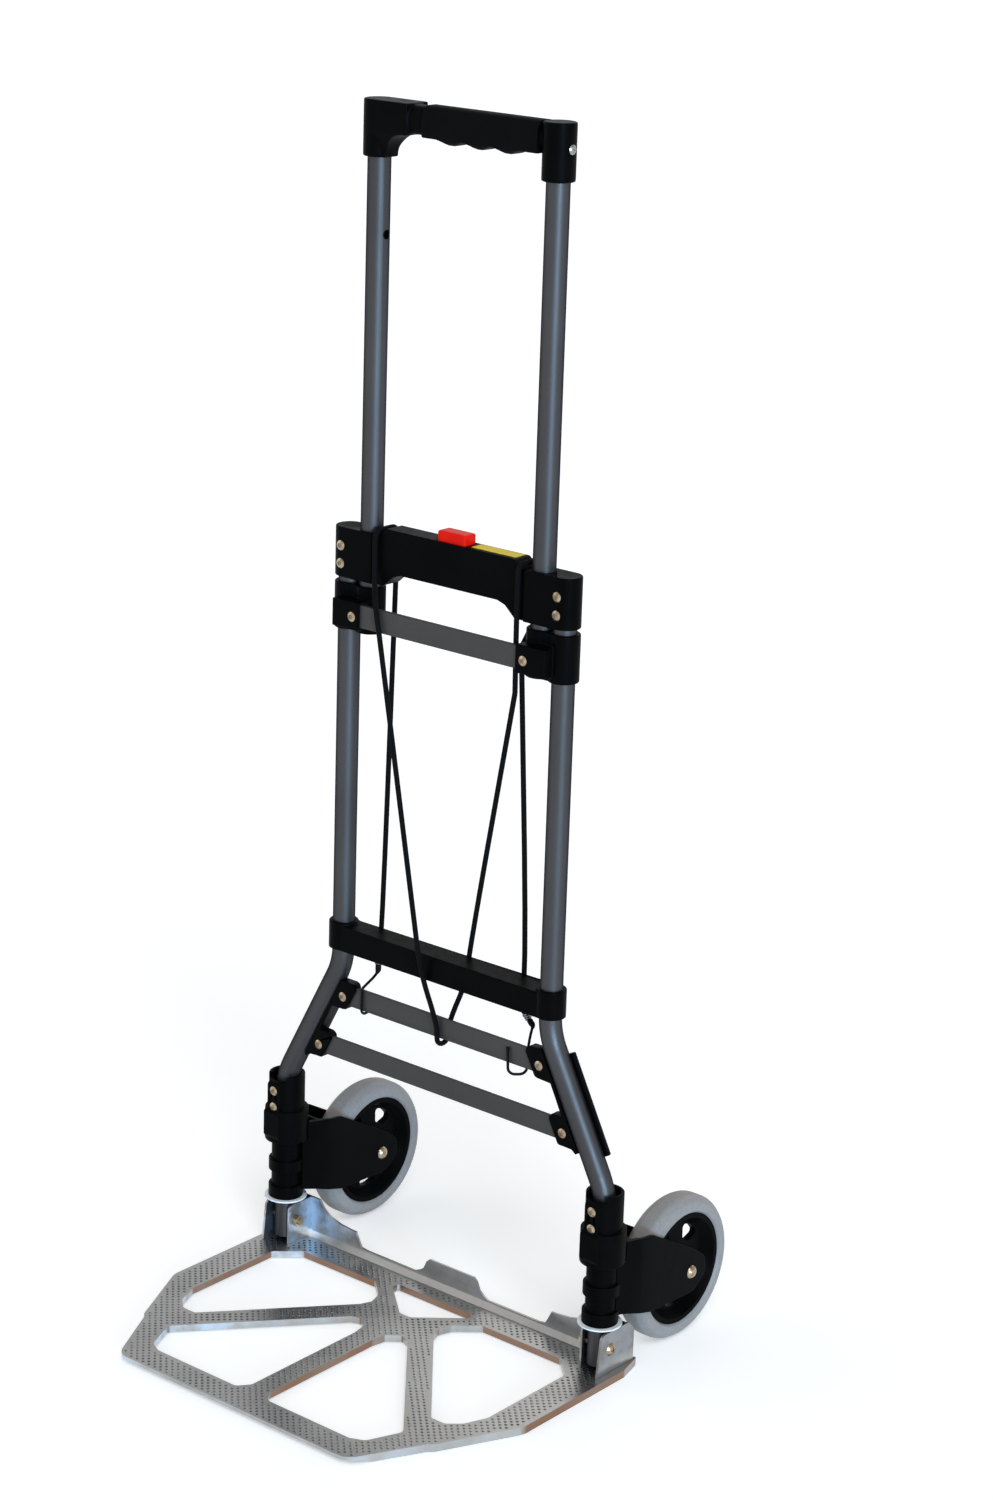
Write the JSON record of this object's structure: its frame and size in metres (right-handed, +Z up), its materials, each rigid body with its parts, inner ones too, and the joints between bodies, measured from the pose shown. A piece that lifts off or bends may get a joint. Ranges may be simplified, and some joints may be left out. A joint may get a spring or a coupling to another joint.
{
  "type": "folding hand truck",
  "caption": "Folding two-wheel hand truck with a telescopic handle, a fold-up toe plate, swing-in wheels and an elastic cord.",
  "frame": {"origin": "on the floor, at the centre of the standing truck's outline, with the handle pulled out and the toe plate down", "axes": "+Z up along the tubes, -Y towards the toe plate's front edge, +Y towards the wheels, +X to the right of a person facing along +Y"},
  "size_m": [0.397, 0.4166, 1.0158],
  "materials": {
    "tube_paint": "smooth blue-grey metallic enamel",
    "bar_paint": "darker warm grey metallic enamel",
    "plate_aluminium": "bright pressed sheet with small raised dimples",
    "black_nylon": "satin moulded nylon",
    "wheel_nylon": "satin moulded plastic",
    "grip_rubber": "matte moulded rubber",
    "tyre_rubber": "light grey moulded rubber",
    "button_red": "bright red plastic",
    "label_yellow": "plain yellow plate",
    "zinc": "zinc plated, slightly yellow",
    "spring_steel": "plain spring wire",
    "white_nylon": "milky white nylon",
    "cord_black": "braided sheath",
    "hook_wire": "black coated wire"
  },
  "bodies": {
    "frame": {"left_main_tube": "tube_paint", "right_main_tube": "tube_paint", "release_housing": "black_nylon", "housing_back_cover": "black_nylon", "cover_screws": "zinc", "housing_rivets": "zinc", "housing_label": "label_yellow", "lower_crossbar": "black_nylon", "left_side_bracket": "black_nylon", "right_side_bracket": "black_nylon", "upper_flat_bar": "bar_paint", "lower_flat_bar": "bar_paint", "flat_bar_rivets": "zinc", "left_collar": "black_nylon", "right_collar": "black_nylon", "collar_rivets": "zinc", "swing_springs": "spring_steel", "thrust_washers": "white_nylon", "latch_springs": "spring_steel", "elastic_cord": "cord_black", "cord_ends": "zinc", "cord_hooks": "hook_wire"},
    "handle": {"left_slide_tube": "tube_paint", "right_slide_tube": "tube_paint", "handle_bar": "black_nylon", "handle_grip": "grip_rubber", "handle_screws": "zinc", "left_guide": "black_nylon", "right_guide": "black_nylon", "guide_bar": "bar_paint", "guide_rivets": "zinc"},
    "button": {"release_button": "button_red"},
    "left_latch": {"left_latch": "black_nylon"},
    "right_latch": {"right_latch": "black_nylon"},
    "toe_plate": {"toe_plate": "plate_aluminium", "hinge_bolts": "zinc", "hinge_nuts": "zinc"},
    "left_fork": {"left_fork": "black_nylon", "left_axle_pin": "zinc"},
    "right_fork": {"right_fork": "black_nylon", "right_axle_pin": "zinc"},
    "left_wheel": {"left_hub": "wheel_nylon", "left_tyre": "tyre_rubber", "left_bush": "white_nylon"},
    "right_wheel": {"right_hub": "wheel_nylon", "right_tyre": "tyre_rubber", "right_bush": "white_nylon"}
  },
  "joints": [
    {"name": "handle_slide", "type": "slide", "parent": "frame", "child": "handle", "axis": [0, 0, 1], "range_m": [-0.255, 0]},
    {"name": "button_press", "type": "slide", "parent": "frame", "child": "button", "axis": [0, 0, -1], "range_m": [0, 0.005], "stiffness_N_per_m": 500, "springref_m": -0.003},
    {"name": "left_latch_pull", "type": "slide", "parent": "frame", "child": "left_latch", "axis": [1, 0, 0], "range_m": [0, 0.005], "deforming": ["latch_springs"]},
    {"name": "right_latch_pull", "type": "slide", "parent": "frame", "child": "right_latch", "axis": [-1, 0, 0], "range_m": [0, 0.005], "deforming": ["latch_springs"]},
    {"name": "toe_plate_fold", "type": "hinge", "parent": "frame", "child": "toe_plate", "pos_m": [0, 0.0443, 0.0275], "axis": [-1, 0, 0], "range_deg": [0, 90]},
    {"name": "left_fork_swing", "type": "hinge", "parent": "frame", "child": "left_fork", "pos_m": [-0.177, 0.0443, 0.063], "axis": [0, 0, -1], "range_deg": [0, 87]},
    {"name": "right_fork_swing", "type": "hinge", "parent": "frame", "child": "right_fork", "pos_m": [0.177, 0.0443, 0.063], "axis": [0, 0, 1], "range_deg": [0, 87]},
    {"name": "left_wheel_spin", "type": "hinge", "parent": "left_fork", "child": "left_wheel", "pos_m": [-0.1738, 0.1453, 0.063], "axis": [1, 0, 0], "continuous": true},
    {"name": "right_wheel_spin", "type": "hinge", "parent": "right_fork", "child": "right_wheel", "pos_m": [0.1738, 0.1453, 0.063], "axis": [1, 0, 0], "continuous": true}
  ],
  "couplings": [
    {"joint": "left_latch_pull", "follows": "button_press", "ratio": 1},
    {"joint": "right_latch_pull", "follows": "button_press", "ratio": 1},
    {"joint": "left_fork_swing", "follows": "toe_plate_fold", "ratio": 0.9666},
    {"joint": "right_fork_swing", "follows": "toe_plate_fold", "ratio": 0.9666}
  ]
}
